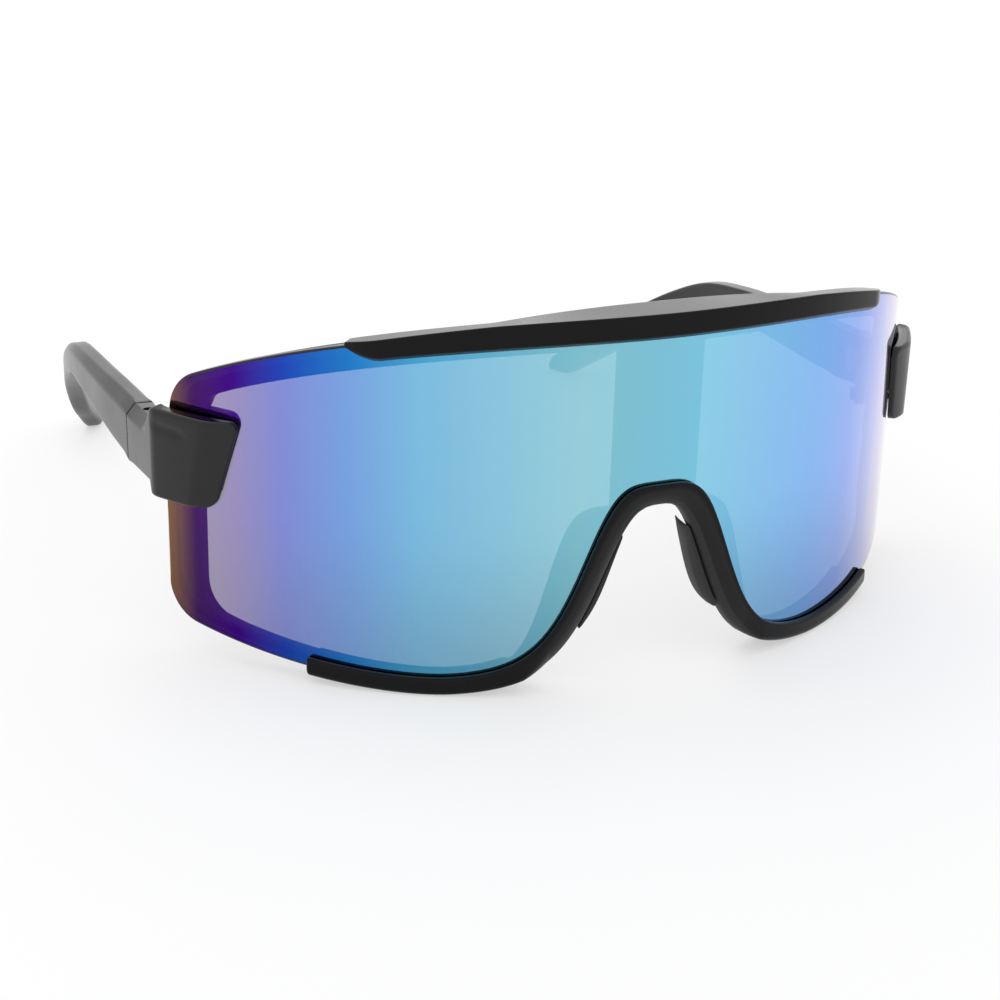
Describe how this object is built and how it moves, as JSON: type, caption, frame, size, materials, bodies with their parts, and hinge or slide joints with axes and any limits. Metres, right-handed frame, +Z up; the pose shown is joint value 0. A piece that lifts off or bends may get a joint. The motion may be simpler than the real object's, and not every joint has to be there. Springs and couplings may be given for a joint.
{
  "type": "shield sunglasses",
  "caption": "Wraparound sunglasses with a one-piece curved mirror lens, brow bar, half rim with nose arch, side clamps and folding temples with hooked ear tips.",
  "frame": {"origin": "centre of the bounding box in X and Y, on the surface that the glasses stand on", "axes": "+Z up; the wearer looks along -Y, so the lens faces -Y and the temples reach back along +Y; +X is to the right as seen from the front"},
  "size_m": [0.1444, 0.1602, 0.0632],
  "materials": {
    "mirror_lens": "blue-violet mirror coating on clear polycarbonate",
    "black_frame": "satin black nylon",
    "satin_black": "satin black nylon",
    "soft_pad": "matte soft rubber",
    "steel": "dark steel"
  },
  "bodies": {
    "front": {"lens": "mirror_lens", "rear_frame": "black_frame", "brow_bar": "black_frame", "lower_rim": "black_frame", "nose_pad_left": "soft_pad", "nose_pad_right": "soft_pad", "endpiece_left": "satin_black", "endpiece_right": "satin_black", "clamp_screws": "steel", "hinge_screws": "steel"},
    "arm_left": {"temple_left": "satin_black", "hinge_leaf_left": "steel"},
    "arm_right": {"temple_right": "satin_black", "hinge_leaf_right": "steel"}
  },
  "joints": [
    {"name": "temple_left_fold", "type": "hinge", "parent": "front", "child": "arm_left", "pos_m": [-0.06929, -0.02608, 0.033], "axis": [0, 0, -1], "range_deg": [0, 90]},
    {"name": "temple_right_fold", "type": "hinge", "parent": "front", "child": "arm_right", "pos_m": [0.06929, -0.02608, 0.033], "axis": [0, 0, 1], "range_deg": [0, 78]}
  ]
}
